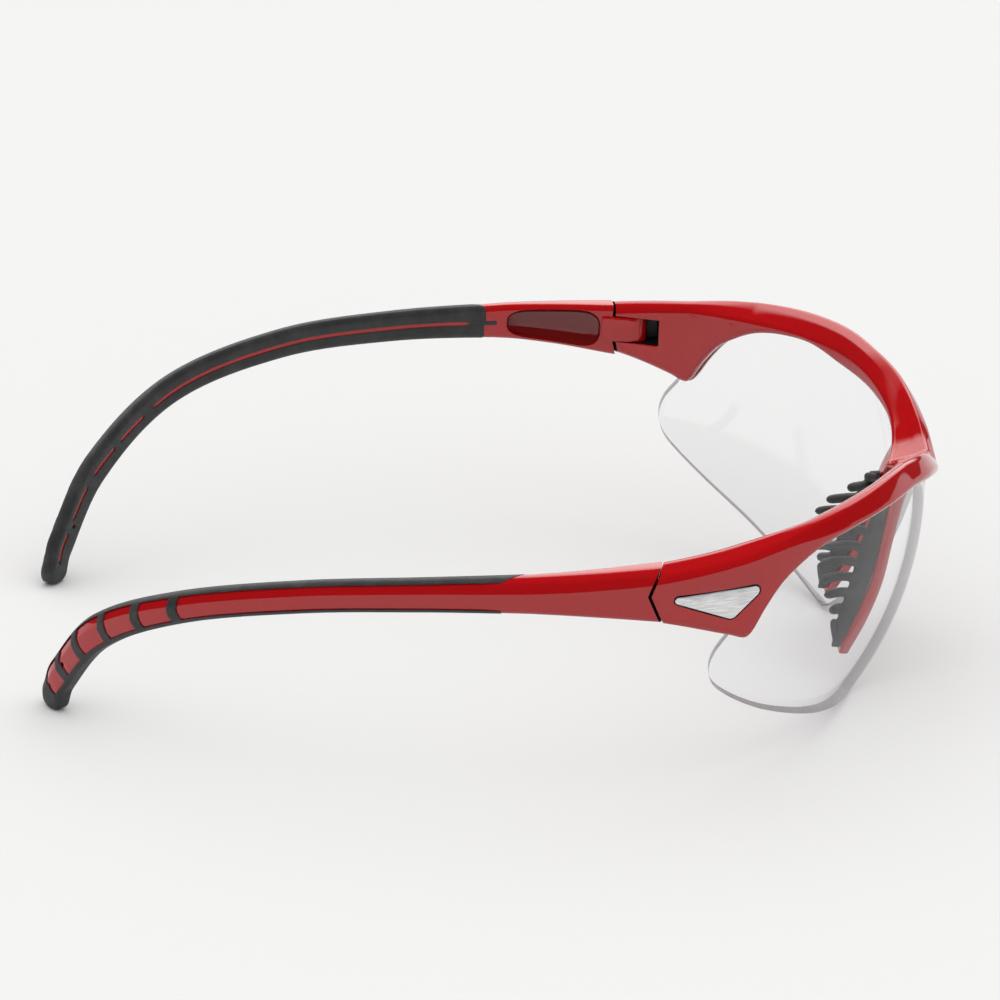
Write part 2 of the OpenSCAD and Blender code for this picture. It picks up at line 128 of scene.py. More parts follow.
# Heights of the front's ridge and lower outer edge, by angle from straight ahead
RIDGE = [(0, 42.4), (4, 43.6), (8, 45.7), (14, 48.5), (20, 50.5), (26, 51.7), (34, 52.4),
         (45, 51.9), (58, 50.1), (68, 48.2), (84, 45.9)]
EDGE = [(0, 38.1), (4, 39.3), (9, 41.6), (16, 44.3), (22, 46.0), (30, 47.0), (38, 47.3), (46, 46.8),
        (52, 45.6), (56, 43.6), (60, 40.3), (63, 35.9), (65.4, 31.4), (66.6, 30.7), (69, 31.7),
        (77, 34.6), (84, 36.6)]
LENS_TOP = [(a, z + LENS_BITE) for a, z in EDGE if a <= 52]
LENS_TOP += [(56, 45.6), (60, 43.0), (63, 40.0), (65.4, 36.2), (68, 31.2), (70, 27.2)]
LENS_TOP_END = 68
# How far the creases below the ridge lie under it, outside and inside
OUTER_DROP = [(0, 2.5), (8, 2.5), (20, 3.2), (34, 4.0), (46, 3.9), (52, 3.3), (58, 2.3), (66, 2.2),
              (84, 2.6)]
INNER_DROP = [(0, 2.5), (8, 2.5), (20, 2.9), (34, 3.4), (46, 3.2), (56, 2.4), (66, 1.7), (84, 1.7)]
# How much further out than the lug the front stands
BULGE = [(0, 0.3), (6, 0.1), (12, -0.2), (18, -0.3), (26, -0.8), (36, -0.3), (50, 0.0), (84, 0.0)]
# How far the front's inner lower edge lies above its outer one
INNER_LIFT = [(0, 0.0), (12, 0.0), (22, -0.8), (32, -0.9), (40, 0.3), (46, 0.4), (57, 0.3), (64, 1.1),
              (84, 1.1)]
# Lower edge of the lens in the side view, and half of its nose notch in the front view
LENS_LOW = [(41.0, 31.0), (38.6, 27.6), (37.6, 24.2), (38.4, 20.6), (41.5, 17.2), (47.5, 12.6),
            (54.9, 8.0), (62.0, 3.6), (67.0, 1.0), (72.0, 0.0)]
NOTCH = [(-2, 24), (0.5, 19.5), (3, 16.8), (8, 14.6), (16, 12.3), (24, 10.0), (30, 7.6), (33.6, 4.4),
         (34.6, 0)]

# Temple centre line by distance from the lug, then its height, thickness and outer crease
PATH = [(0, 27.6, 65.4, 41.0), (11.1, 16.5, 66.9, 41.3), (22.3, 5.3, 67.5, 41.3), (44.5, -16.8, 66.0, 40.3),
        (66.9, -38.7, 62.0, 37.9), (91.2, -60.5, 53.0, 31.6), (113.9, -75.3, 39.4, 20.4),
        (131.2, -82.2, 30.6, 7.4), (136.2, -83.3, 28.9, 2.9)]
TEMPLE_H = [(0, 10.4), (11, 8.5), (22, 7.1), (33, 6.5), (45, 6.1), (67, 5.8), (91, 5.8), (114, 6.6),
            (136, 6.8)]
TEMPLE_T = [(0, 5.8), (11, 5.1), (22, 4.4), (45, 3.8), (91, 3.5), (136, 3.5)]
TEMPLE_DROP = [(0, 2.5), (11, 2.6), (22, 2.6), (45, 2.1), (91, 2.0), (136, 2.2)]
# The centre line is measured from behind the lug's face, in small steps; past its end the tip is a dome
PATH_START = -8
PATH_STEP = 0.1
PATH_END = 136.2
TIP_R = 2.8
# Shares of the temple's thickness which the dome leaves as it is and which it rounds off
TIP_FLAT = 0.55
TIP_ROUND = 0.45
# Cut corners of the temple's section, and how far these and the outer crease are rounded
CORNER = 0.8
CORNER_EASE = 0.4
CREASE_EASE = 0.22
GRIP_START = 22.9
CORE_START = -5
CORE_END = 133.5
# Cross bands of the grip's outer face: places, width and how far each bulges towards the tip
BANDS = [92.4, 101.6, 111.3, 120.5, 128.5]
BAND_W = 2.0
BAND_BULGE = 1.1
# Rubber left above and below a window and behind the core, how far it stands out, and a window's depth
RIM_TOP = 0.6
RIM_LOW = 0.8
GRIP_WALL = 1.0
GRIP_PROUD = 0.04
WINDOW_DEPTH = 1.35
# Room for the core in the grip: how far it starts ahead, and the rubber above it and outside it
CHANNEL_LEAD = 4
CHANNEL_TOP = 1.02
CHANNEL_SIDE = 0.9
# How much a window or that room leans inwards above the outer crease
LEAN = 0.7
# How far the core lies under the temple's skin, by distance
CORE_SINK = 0.16
CORE_SINKS = [(22.5, 0), (23.2, 0.03), (29.5, 0.03), (33.0, CORE_SINK)]
# Front ends of the grip's top and bottom strips: side, start along the temple and slant
STRIP_ENDS = [("top_end", 1, 25.0, 4.6), ("low_end", -1, 25.4, 4.2)]
STRIP_STATION = 26
CORD_PLACE = 126.9
CORD_D = 1.0
# Bowl in the temple's inner face, and the thin lines where the core shows through the grip's inner face
HOLLOW = (1.8, 20.9)
HOLLOW_DEPTH = 1.9
HOLLOW_MARGIN = 0.75
HOLLOW_END_POWER = 5
HOLLOW_RISE_POWER = 3.5
INNER_LINES = [(28.5, 97.2), (99.6, 107.0), (108.6, 116.0), (118.5, 126.0), (128.5, 135.0)]
LINE_W = 0.85
LINE_SHIFT = (100, 125)

# Nose arm: height, x, y, half width, half thickness
ARM = [(6.4, 68.2, 14.4, 1.6, 0.9), (13, 71.4, 13.2, 2.2, 1.0), (20, 74.2, 11.6, 2.2, 1.0),
       (28, 76.0, 9.9, 2.2, 1.0), (35, 77.6, 8.0, 2.5, 1.1), (41.4, 79.8, 6.1, 2.4, 1.1)]
ARM_LOW = 6.4
ARM_TOP = 41.4
# Nose pad: its web's reach behind the arm by height, then the fins and the x of their ends by height
PAD_REACH = [(7, 1.6), (13, 3.2), (20, 3.8), (27, 3.6), (34, 2.2)]
PAD_LOW = 7
PAD_TOP = 34.4
PAD_VOXEL = 0.2
# The web is sunk into the arm, lies towards the nose, and tapers from a root to an end half thickness
PAD_SINK = 0.1
PAD_SHIFT = 0.4
PAD_ROOT = 0.8
PAD_END = 0.45
FIN_COUNT = 8
FIN_PITCH = 2.9
FIN_TOP = 34.4
FIN_ROOT_TOP = 33
FIN_ROOT_BACK = 2.2
FIN_ROOT_SHIFT = 0.9
FIN_SHORTEST = 3
FIN_SAG = (0.2, -0.5, 0.35)
FIN_WIDTHS = (3.0, 2.0)
FIN_HEIGHTS = (1.5, 1.9)
# The fins' ends lie this far from the middle, and further by this much from each fin to the one below
FIN_END_Y = 5.4
FIN_STEP_Y = 1.1
FIN_END_X = [(12, 65.4), (17, 63.4), (22, 62.4), (26, 63.2), (29, 65.4), (31.5, 68.9), (35, 72.8)]
PAD_TAIL = [(66.9, 14.2, 7.4), (66.4, 13.8, 10.2), (66.2, 13.3, 12.6)]
PAD_TAIL_SIZES = (1.2, 1.6)

# Badge corners in the side view with their radii, then its depth in the lug, height above it and dark rim
BADGE = [(30.9, 40.3, 0.7), (41.0, 36.8, 1.3), (45.2, 40.3, 1.1)]
BADGE_DEPTH = 0.35
BADGE_STAND = 0.12
BADGE_RIM = 0.28

# Rounds on the sharp edges of each piece
FRONT_ROUND = 0.12
LENS_ROUND = 0.22
BADGE_ROUND = 0.1
CORE_ROUND = 0.10
GRIP_ROUND = 0.08
SCREW_ROUND = 0.04


# ---- Curves ----

def curve(rows, x, column=1):
    """Smooth curve through the rows of a table, read from one column."""
    t = np.array(rows, float)
    xs, ys = t[:, 0], t[:, column]
    m = np.empty_like(ys)
    m[1:-1] = (ys[2:] - ys[:-2]) / (xs[2:] - xs[:-2])
    m[0] = (ys[1] - ys[0]) / (xs[1] - xs[0])
    m[-1] = (ys[-1] - ys[-2]) / (xs[-1] - xs[-2])
    x = np.asarray(x, float)
    i = np.clip(np.searchsorted(xs, x) - 1, 0, len(xs) - 2)
    w = xs[i + 1] - xs[i]
    u = (x - xs[i]) / w
    return (ys[i] * (2 * u**3 - 3 * u**2 + 1) + m[i] * w * (u**3 - 2 * u**2 + u)
            + ys[i + 1] * (3 * u**2 - 2 * u**3) + m[i + 1] * w * (u**3 - u**2))


def through(points, steps):
    """Dense smooth polyline through a few 2-D points."""
    rows = [(i, p[0], p[1]) for i, p in enumerate(points)]
    t = np.linspace(0, len(points) - 1, steps)
    return np.stack([curve(rows, t, 1), curve(rows, t, 2)], 1)


def eased(corners, steps=4):
    """Closed outline whose corners (p, q, ease) are replaced with short arcs."""
    out = []
    n = len(corners)
    for i in range(n):
        a, b, c = (np.array(corners[k % n][:2], float) for k in (i - 1, i, i + 1))
        ease = corners[i][2]
        start = b + (a - b) * min(ease / np.linalg.norm(a - b), 0.48)
        end = b + (c - b) * min(ease / np.linalg.norm(c - b), 0.48)
        for k in range(steps + 1):
            t = k / steps
            out.append((1 - t) ** 2 * start + 2 * t * (1 - t) * b + t**2 * end)
    return np.array(out)


def share_between(x, start, end):
    """0 at start and 1 at end, straight between them and level outside."""
    return min(1, max(0, (x - start) / (end - start)))


def sphere_r(r, z):
    """Radius of the lens's sphere at a height."""
    return np.sqrt(r * r - (z - LENS_Z) ** 2)


# ---- Mesh helpers ----

# Points nearer than this become one after a boolean
WELD = 0.004


def new_object(name, verts, faces):
    mesh = bpy.data.meshes.new(name)
    mesh.from_pydata([tuple(v) for v in np.asarray(verts, float) * MM], [], faces)
    bm = bmesh.new()
    bm.from_mesh(mesh)
    bmesh.ops.recalc_face_normals(bm, faces=bm.faces)
    bm.to_mesh(mesh)
    bm.free()
    obj = bpy.data.objects.new(name, mesh)
    bpy.context.scene.collection.objects.link(obj)
    return obj


def loft(name, rings):
    """Closed solid over a row of rings with equal numbers of points."""
    rings = np.asarray(rings, float)
    count, n = rings.shape[:2]
    faces = [(i * n + j, i * n + (j + 1) % n, (i + 1) * n + (j + 1) % n, (i + 1) * n + j)
             for i in range(count - 1) for j in range(n)]
    faces.append(tuple(range(n)))
    faces.append(tuple((count - 1) * n + j for j in range(n)))
    return new_object(name, rings.reshape(-1, 3), faces)


def mirrored(rings, side):
    return np.asarray(rings, float) * np.array([1, side, 1])


def disc(centre, radius, z, count=72):
    """Level ring of points."""
    q = np.linspace(0, 2 * math.pi, count, endpoint=False)
    return np.stack([centre[0] + radius * np.cos(q), centre[1] + radius * np.sin(q), np.full(count, z)], 1)


def drum(name, centre, radius, z_low, z_high):
    return loft(name, [disc(centre, radius, z_low), disc(centre, radius, z_high)])


def brick(name, low, high):
    x0, y0, z0 = low
    x1, y1, z1 = high
    ring = [(x0, y0), (x1, y0), (x1, y1), (x0, y1)]
    return loft(name, [[(x, y, z) for x, y in ring] for z in (z0, z1)])


def bake(obj):
    """Applies the modifiers."""
    bpy.context.view_layer.update()
    done = bpy.data.meshes.new_from_object(obj.evaluated_get(bpy.context.evaluated_depsgraph_get()))
    obj.modifiers.clear()
    obj.data = done


def combine(obj, tools, how="DIFFERENCE"):
    """One exact boolean of a piece with all its tools, which are used up."""
    group = bpy.data.collections.new("tools")
    for tool in tools:
        group.objects.link(tool)
    mod = obj.modifiers.new("combine", "BOOLEAN")
    mod.operation = how
    mod.solver = "EXACT"
    mod.operand_type = "COLLECTION"
    mod.collection = group
    mod.material_mode = "TRANSFER"
    bake(obj)
    for tool in tools:
        bpy.data.objects.remove(tool)
    bpy.data.collections.remove(group)
    return obj


def finish_edges(obj, width, angle=35, segments=2):
    """Small round on the sharp edges, then smooth shading up to those edges."""
    bm = bmesh.new()
    bm.from_mesh(obj.data)
    bmesh.ops.remove_doubles(bm, verts=bm.verts, dist=WELD * MM)
    bmesh.ops.dissolve_degenerate(bm, edges=bm.edges, dist=WELD * MM)
    bm.to_mesh(obj.data)
    bm.free()
    if width:
        mod = obj.modifiers.new("round", "BEVEL")
        mod.width = width * MM
        mod.segments = segments
        mod.limit_method = "ANGLE"
        mod.angle_limit = math.radians(angle)
        bake(obj)
    obj.data.shade_smooth()
    obj.data.set_sharp_from_angle(angle=math.radians(angle))
    return obj


# ---- Materials ----

def nodes_of(name):
    mat = bpy.data.materials.new(name)
    mat.use_nodes = True
    tree = mat.node_tree
    return mat, tree, tree.nodes["Principled BSDF"]


def add(tree, kind, **values):
    node = tree.nodes.new(kind)
    for key, value in values.items():
        if key in node.inputs:
            node.inputs[key].default_value = value
        else:
            setattr(node, key, value)
    return node


def place_of(tree, scale=(1, 1, 1)):
    coord = add(tree, "ShaderNodeTexCoord")
    mapping = add(tree, "ShaderNodeMapping")
    mapping.inputs["Scale"].default_value = scale
    tree.links.new(coord.outputs["Object"], mapping.inputs["Vector"])
    return mapping.outputs["Vector"]


def noise(tree, vector, scale, detail=2.0, rough=0.5):
    node = add(tree, "ShaderNodeTexNoise")
    node.inputs["Scale"].default_value = scale
    node.inputs["Detail"].default_value = detail
    node.inputs["Roughness"].default_value = rough
    tree.links.new(vector, node.inputs["Vector"])
    return node.outputs["Fac"]


def ramp(tree, fac, low, high, start=0.35, end=0.65):
    node = add(tree, "ShaderNodeMapRange")
    node.inputs["From Min"].default_value = start
    node.inputs["From Max"].default_value = end
    node.inputs["To Min"].default_value = low
    node.inputs["To Max"].default_value = high
    tree.links.new(fac, node.inputs["Value"])
    return node.outputs["Result"]


def blend_colours(tree, fac, a, b):
    node = add(tree, "ShaderNodeMix", data_type="RGBA")
    node.inputs[6].default_value = (*a, 1)
    node.inputs[7].default_value = (*b, 1)
    tree.links.new(fac, node.inputs[0])
    return node.outputs[2]


def bumps(tree, bsdf, layers):
    """Stacked bump layers: (height socket, strength, distance in mm)."""
    last = None
    for height, strength, distance in layers:
        node = add(tree, "ShaderNodeBump")
        node.inputs["Strength"].default_value = strength
        node.inputs["Distance"].default_value = distance * MM
        tree.links.new(height, node.inputs["Height"])
        if last is not None:
            tree.links.new(last, node.inputs["Normal"])
        last = node.outputs["Normal"]
    tree.links.new(last, bsdf.inputs["Normal"])
    return last


def lacquer(name, deep, bright, coat_rough):
    """Metallic-flake lacquer under a clear coat with faint orange peel."""
    mat, tree, bsdf = nodes_of(name)
    here = place_of(tree)
    flake = noise(tree, here, 9000, 1.0)
    cloud = noise(tree, here, 130, 3.0)
    base = blend_colours(tree, ramp(tree, flake, 0.0, 1.0, 0.3, 0.7), deep, bright)
    tree.links.new(base, bsdf.inputs["Base Color"])
    tree.links.new(ramp(tree, cloud, 0.46, 0.54), bsdf.inputs["Roughness"])
    bsdf.inputs["Specular IOR Level"].default_value = 0.0
    bsdf.inputs["Metallic"].default_value = 0.12
    bsdf.inputs["Coat Weight"].default_value = 1.0
    bsdf.inputs["Coat IOR"].default_value = 1.6
    scuff = noise(tree, place_of(tree, (1, 1, 4)), 700, 4.0, 0.7)
    worn = ramp(tree, scuff, coat_rough, coat_rough + 0.06, 0.55, 0.85)
    tree.links.new(worn, bsdf.inputs["Coat Roughness"])
    peel = noise(tree, here, 1400, 1.0)
    last = bumps(tree, bsdf, [(peel, 0.10, 0.02), (flake, 0.03, 0.01)])
    tree.links.new(last, bsdf.inputs["Coat Normal"])
    return mat


def rubber(name, dark, light, grain):
    """Matt moulded rubber with fine grain and a little dust."""
    mat, tree, bsdf = nodes_of(name)
    here = place_of(tree)
    dust = noise(tree, here, 260, 5.0, 0.65)
    fine = noise(tree, here, grain, 3.0)
    base = blend_colours(tree, ramp(tree, dust, 0.0, 1.0, 0.42, 0.75), dark, light)
    tree.links.new(base, bsdf.inputs["Base Color"])
    tree.links.new(ramp(tree, fine, 0.46, 0.62), bsdf.inputs["Roughness"])
    bsdf.inputs["Specular IOR Level"].default_value = 0.45
    bumps(tree, bsdf, [(fine, 0.30, 0.05), (dust, 0.15, 0.05)])
    return mat


def brushed_metal(name):
    mat, tree, bsdf = nodes_of(name)
    lines = noise(tree, place_of(tree, (0.06, 0.06, 1)), 5200, 2.0)
    cloud = noise(tree, place_of(tree), 320, 3.0)
    base = blend_colours(tree, ramp(tree, lines, 0.0, 1.0), (0.62, 0.62, 0.63), (0.86, 0.86, 0.87))
    tree.links.new(base, bsdf.inputs["Base Color"])
    bsdf.inputs["Metallic"].default_value = 1.0
    tree.links.new(ramp(tree, cloud, 0.30, 0.42), bsdf.inputs["Roughness"])
    bumps(tree, bsdf, [(lines, 0.15, 0.02)])
    return mat


def steel(name):
    mat, tree, bsdf = nodes_of(name)
    here = place_of(tree)
    cloud = noise(tree, here, 900, 4.0)
    base = blend_colours(tree, ramp(tree, cloud, 0.0, 1.0), (0.30, 0.30, 0.31), (0.50, 0.50, 0.51))
    tree.links.new(base, bsdf.inputs["Base Color"])
    bsdf.inputs["Metallic"].default_value = 1.0
    tree.links.new(ramp(tree, cloud, 0.24, 0.40), bsdf.inputs["Roughness"])
    bumps(tree, bsdf, [(cloud, 0.15, 0.02)])
    return mat


def dark_rim_and_shade(name):
    """Flat near-black: painted shade inside the hinge slots and on both faces of the joint between lug and
    temple, and the dark rim round the badges.
    """
    mat, tree, bsdf = nodes_of(name)
    fine = noise(tree, place_of(tree), 2500, 3.0)
    base = blend_colours(tree, ramp(tree, fine, 0.0, 1.0), (0.004, 0.004, 0.004), (0.012, 0.010, 0.010))
    tree.links.new(base, bsdf.inputs["Base Color"])
    bsdf.inputs["Roughness"].default_value = 0.55
    bumps(tree, bsdf, [(fine, 0.2, 0.03)])
    return mat


def clear_plastic(name, tint, mirror, haze):
    """Thin clear sheet: light goes straight through its tint, and a part is mirrored, most at its edges."""
    mat, tree, bsdf = nodes_of(name)
    here = place_of(tree)
    smear = noise(tree, here, 60, 4.0, 0.6)
    fine = noise(tree, here, 45, 1.0)
    base = blend_colours(tree, ramp(tree, smear, 0.0, 1.0), [c * 0.99 for c in haze], haze)
    tree.links.new(base, bsdf.inputs["Base Color"])
    tree.links.new(ramp(tree, smear, 0.02, 0.08, 0.5, 0.8), bsdf.inputs["Roughness"])
    bsdf.inputs["Metallic"].default_value = 1.0
    bumps(tree, bsdf, [(fine, 0.03, 0.05)])
    through_it = add(tree, "ShaderNodeBsdfTransparent")
    through_it.inputs["Color"].default_value = (*tint, 1)
    facing = add(tree, "ShaderNodeLayerWeight")
    facing.inputs["Blend"].default_value = 0.5
    steep = add(tree, "ShaderNodeMath", operation="POWER")
    tree.links.new(facing.outputs["Facing"], steep.inputs[0])
    steep.inputs[1].default_value = 5.0
    share = ramp(tree, steep.outputs["Value"], *mirror, 0.0, 1.0)
    mix = add(tree, "ShaderNodeMixShader")
    tree.links.new(share, mix.inputs["Fac"])
    tree.links.new(through_it.outputs["BSDF"], mix.inputs[1])
    tree.links.new(bsdf.outputs["BSDF"], mix.inputs[2])
    tree.links.new(mix.outputs["Shader"], tree.nodes["Material Output"].inputs["Surface"])
    return mat


FRAME_RED = lacquer("frame_lacquer", (0.27, 0.001, 0.002), (0.38, 0.003, 0.005), 0.02)
TEMPLE_RED = lacquer("temple_lacquer", (0.27, 0.001, 0.002), (0.37, 0.003, 0.005), 0.03)
GRIP_RUBBER = rubber("grip_rubber", (0.018, 0.019, 0.021), (0.034, 0.035, 0.037), 2600)
PAD_RUBBER = rubber("pad_rubber", (0.022, 0.023, 0.024), (0.045, 0.046, 0.047), 2200)
BADGE_METAL = brushed_metal("badge_metal")
SCREW_STEEL = steel("screw_steel")
# Near-black standing in for shade in the hinge slots and the joint's gap; it also gives the dark rim round
# the badges.
DARK_RIM_AND_SHADE = dark_rim_and_shade("dark_rim_and_painted_shade")
CLEAR = clear_plastic("lens_polycarbonate", (0.985, 0.985, 0.987), (0.035, 0.60), (0.93, 0.93, 0.94))
# Darker, duller copy for the lens's cut edges: painted shade for the dark line along the edge.
EDGE_SHADE_CLEAR = clear_plastic("lens_rim_painted_shade", (0.50, 0.47, 0.49), (0.12, 0.60), (0.40, 0.38, 0.39))
# Darker copy of the frame lacquer for the inside of the temple's bowl: painted shade.
HOLLOW_SHADE_RED = lacquer("hollow_lacquer_painted_shade", (0.090, 0.001, 0.001), (0.150, 0.002, 0.002), 0.04)


def paint(obj, material):
    obj.data.materials.clear()
    obj.data.materials.append(material)
    return obj


def dress(obj, body, node):
    """Puts a piece on its body in place of a CAD node."""
    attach(obj, body)
    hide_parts(node)


# ---- Front frame ----

def around(profile, angle):
    """A (radius, height) profile, turned to an angle about the lens's axis."""
    c, s = math.cos(math.radians(angle)), math.sin(math.radians(angle))
    return [(LENS_X + p[0] * c, p[0] * s, p[1]) for p in profile]


def front_profile(a):
    """Cross-section of the front at an angle: ridge, two slanted facets and a rounded lower lip."""
    top, low = float(curve(RIDGE, a)), float(curve(EDGE, a))
    ro = FRONT_R_OUT + float(curve(BULGE, a))
    brow = share_between(a, *BROW_ANGLES)
    near = share_between(a, *FLAT_ANGLES)
    ridge_r = ro - 3.6 + 1.15 * brow
    drop = float(curve(OUTER_DROP, a))
    web = WEB_REACH * max(0, 1 - a / WEB_ANGLE) ** 2
    ri = BROW_R_IN + (LUG_R_IN - BROW_R_IN) * share_between(a, *WALL_ANGLES) - web
    lift = float(curve(INNER_LIFT, a))
    inner_lip = [(ri + 0.6, low + lift, 0.5), (ri, low + lift + 0.8, 0.5)]
    inner_crease = (ri + 0.1 + 0.2 * web, top - float(curve(INNER_DROP, a)), 0.7)
    back_of_ridge = (ridge_r - 0.8 - 0.8 * brow - 0.5 * (1 - brow), top - 0.3 - 0.6 * brow, 0.6)
    ridge = (ridge_r, top, 0.4)
    shoulder = (ro - 0.8 - 0.25 * brow - 0.7 * near, top - 1.2 + 0.7 * brow + 0.1 * near, 0.5)
    outer_crease = (ro, top - drop, 0.25 + 0.5 * near)
    outer_lip = [(ro - 0.1, low + 0.8, 0.5), (ro - 0.7, low, 0.4)]
    over_lens = (sphere_r(LENS_R - LENS_T / 2, low), low + 0.3 * lift, 0.6)
    inside = [*inner_lip, inner_crease, back_of_ridge]
    return eased([*inside, ridge, shoulder, outer_crease, *outer_lip, over_lens])


def arm_ring(z, side):
    """Level section of a nose arm."""
    x, y, hw, ht = (float(curve(ARM, z, c)) for c in (1, 2, 3, 4))
    corners = [(-ht, -hw), (-ht, hw), (ht, hw), (ht, -hw)]
    flat = eased([(x + p, y + q, 0.7) for p, q in corners], 5)
    return mirrored([(p[0], p[1], z) for p in flat], side)


def side_outline(rise):
    """The lens in the side view: hidden upper edge raised by rise, then the visible lower edge."""
    angles = np.linspace(0, LENS_TOP_END, 120)
    z = curve(LENS_TOP, angles)
    x = LENS_X + sphere_r(LENS_R - LENS_T / 2, z) * np.cos(np.radians(angles))
    top = np.stack([x, z + rise], 1)
    front_x = LENS_X + LENS_R + 2
    low = through(LENS_LOW, 120)
    return np.vstack([[(front_x, top[0][1])], top, low, [(front_x, 0.0)]])


def lens_shell(name, gap):
    """Thick spherical patch in angle and height, larger than the lens on every side."""
    heights = np.linspace(*SHELL_HEIGHTS, 90)
    rings = []
    for a in np.radians(np.linspace(-SHELL_ANGLE, SHELL_ANGLE, 220)):
        outer = [(LENS_X + r * math.cos(a), r * math.sin(a), z)
                 for z, r in zip(heights, sphere_r(LENS_R + gap, heights))]
        inner = [(LENS_X + r * math.cos(a), r * math.sin(a), z)
                 for z, r in zip(heights, sphere_r(LENS_R - LENS_T - gap, heights))]
        rings.append(outer + inner[::-1])
    return loft(name, rings)


def side_prism(name, outline):
    return loft(name, [[(x, y, z) for x, z in outline] for y in (-BEYOND, BEYOND)])


def above_lens(rise):
    """Everything over the lens near the bridge, where the side view can't separate it from the brow."""
    angles = np.linspace(-BRIDGE_ANGLE, BRIDGE_ANGLE, 61)
    z = curve(LENS_TOP, np.abs(angles))
    y = sphere_r(LENS_R - LENS_T / 2, z) * np.sin(np.radians(angles))
    outline = np.vstack([np.stack([y, z + rise], 1), [(ABOVE_Y, ABOVE_Z), (-ABOVE_Y, ABOVE_Z)]])
    back, front = LENS_X + 30, LENS_X + 90
    return loft("above", [[(x, y, z) for y, z in outline] for x in (back, front)])


def lens_blank(name, gap, rise):
    """The lens without its nose notch, or with a gap and a rise the room for it in the front."""
    shell = lens_shell(name, gap)
    paint(shell, CLEAR)
    # Cut edge faces get the darker rim material: painted shade along the lens's edge.
    combine(shell, [paint(side_prism("side", side_outline(rise)), EDGE_SHADE_CLEAR)], "INTERSECT")
    return combine(shell, [paint(above_lens(rise), EDGE_SHADE_CLEAR)])


def behind_split(name, shift):
    """Everything behind the joint between lug and temple, bent further back outside and narrow halfway."""
    rings = []
    depths = np.linspace(*SPLIT_DEPTHS, 13)
    for y in [-BEYOND, *-depths[::-1], *depths, BEYOND]:
        share = min(1, (abs(y) - depths[0]) / (depths[-1] - depths[0]))
        line = [(p[0] + (q[0] - p[0]) * share, p[1]) for p, q in zip(SPLIT_INSIDE, SPLIT_OUTSIDE)]
        waist = SPLIT_WAIST + (1 - SPLIT_WAIST) * abs(2 * share - 1)
        closing = [(KEEP_X, line[-1][1]), (KEEP_X, line[0][1])]
        rings.append([(x + shift * waist, y, z) for x, z in line + closing])
    return loft(name, rings)


def hinge_room(side):
    """Slot for the tongue and the screw's holes, painted near-black inside as painted shade."""
    low, high = SLOT_Z - TONGUE_H / 2 - TONGUE_GAP, SLOT_Z + TONGUE_H / 2 + TONGUE_GAP
    r = TONGUE_R + SLOT_GAP
    centre = (PIN_X, side * PIN_Y)

    def slab(name, x0, x1, y_in, y_out):
        ys = sorted((side * y_in, side * y_out))
        return brick(name, (x0, ys[0], low), (x1, ys[1], high))

    tools = [drum("slot_round", centre, r, low, high),
             slab("slot_back", PIN_X - SLOT_REACH, PIN_X, PIN_Y - SLOT_REACH, PIN_Y + r),
             slab("slot_front", PIN_X - SLOT_LAP, SLOT_END_X, PIN_Y - SLOT_REACH, PIN_Y + SLOT_STEP),
             drum("head_hole", centre, HEAD_D / 2 + HEAD_PLAY, SCREW_SEAT - HEAD_ROOM, SCREW_SEAT),
             drum("shank_hole", centre, SHANK_D / 2 + SHANK_PLAY, SCREW_SEAT - 0.5, SCREW_TOP + 0.2)]
    return [paint(t, DARK_RIM_AND_SHADE) for t in tools]


def badge_outline(grow):
    """Rounded triangle in the side view, from its corner circles."""
    out = []
    n = len(BADGE)
    for i in range(n):
        a, b, c = (np.array(BADGE[k % n][:2]) for k in (i - 1, i, i + 1))
        into, away = (b - a) / np.linalg.norm(b - a), (c - b) / np.linalg.norm(c - b)
        start = math.atan2(-into[0], into[1])
        stop = math.atan2(-away[0], away[1])
        stop += 2 * math.pi if stop < start else 0
        for q in np.linspace(start, stop, 24):
            out.append(b + (BADGE[i][2] + grow) * np.array([math.cos(q), math.sin(q)]))
    return np.array(out)


def badge_solid(name, side, outline, r_low, r_high, rows=9):
    """Plate between two radii that follows the lug's curve."""
    centre = outline.mean(0)
    rings = []

    def ring(scale, radius):
        pts = centre + (outline - centre) * scale
        y = np.sqrt(radius**2 - (pts[:, 0] - LENS_X) ** 2)
        return np.stack([pts[:, 0], side * y, pts[:, 1]], 1)

    inner = np.linspace(0.04, 1, rows)
    for scale in inner:
        rings.append(ring(scale, r_low))
    for scale in inner[::-1]:
        rings.append(ring(scale, r_high))
    return loft(name, rings)


def front_frame():
    """Brow bar, lugs and nose arms in one piece, cut for the lens, temples, screws and badges."""
    angles = np.concatenate([np.linspace(-FRONT_END, -16, 130), np.linspace(-15.6, 15.6, 79),
                             np.linspace(16, FRONT_END, 130)])
    obj = loft("front_frame", [around(front_profile(abs(a)), a) for a in angles])
    paint(obj, FRAME_RED)
    heights = np.linspace(ARM_LOW, ARM_TOP, 60)
    arms = [loft("arm", [arm_ring(z, side) for z in heights]) for side in SIDES.values()]
    combine(obj, [paint(a, FRAME_RED) for a in arms], "UNION")
    cuts = [paint(lens_blank("room", ROOM_GAP, ROOM_RISE), FRAME_RED)]
    # The lug's face of the joint is painted near-black: painted shade for the dark gap.
    cuts.append(paint(behind_split("split", SPLIT_GAP / 2), DARK_RIM_AND_SHADE))
    for side in SIDES.values():
        cuts += hinge_room(side)
        bottom = FRONT_R_OUT - BADGE_DEPTH
        pocket = badge_solid("pocket", side, badge_outline(BADGE_RIM), bottom, FRONT_R_OUT + 2)
        # The recess left round the badge plate is painted near-black, a thin dark rim.
        cuts.append(paint(pocket, DARK_RIM_AND_SHADE))
    combine(obj, cuts)
    finish_edges(obj, FRONT_ROUND)
    dress(obj, "front", "front_frame")


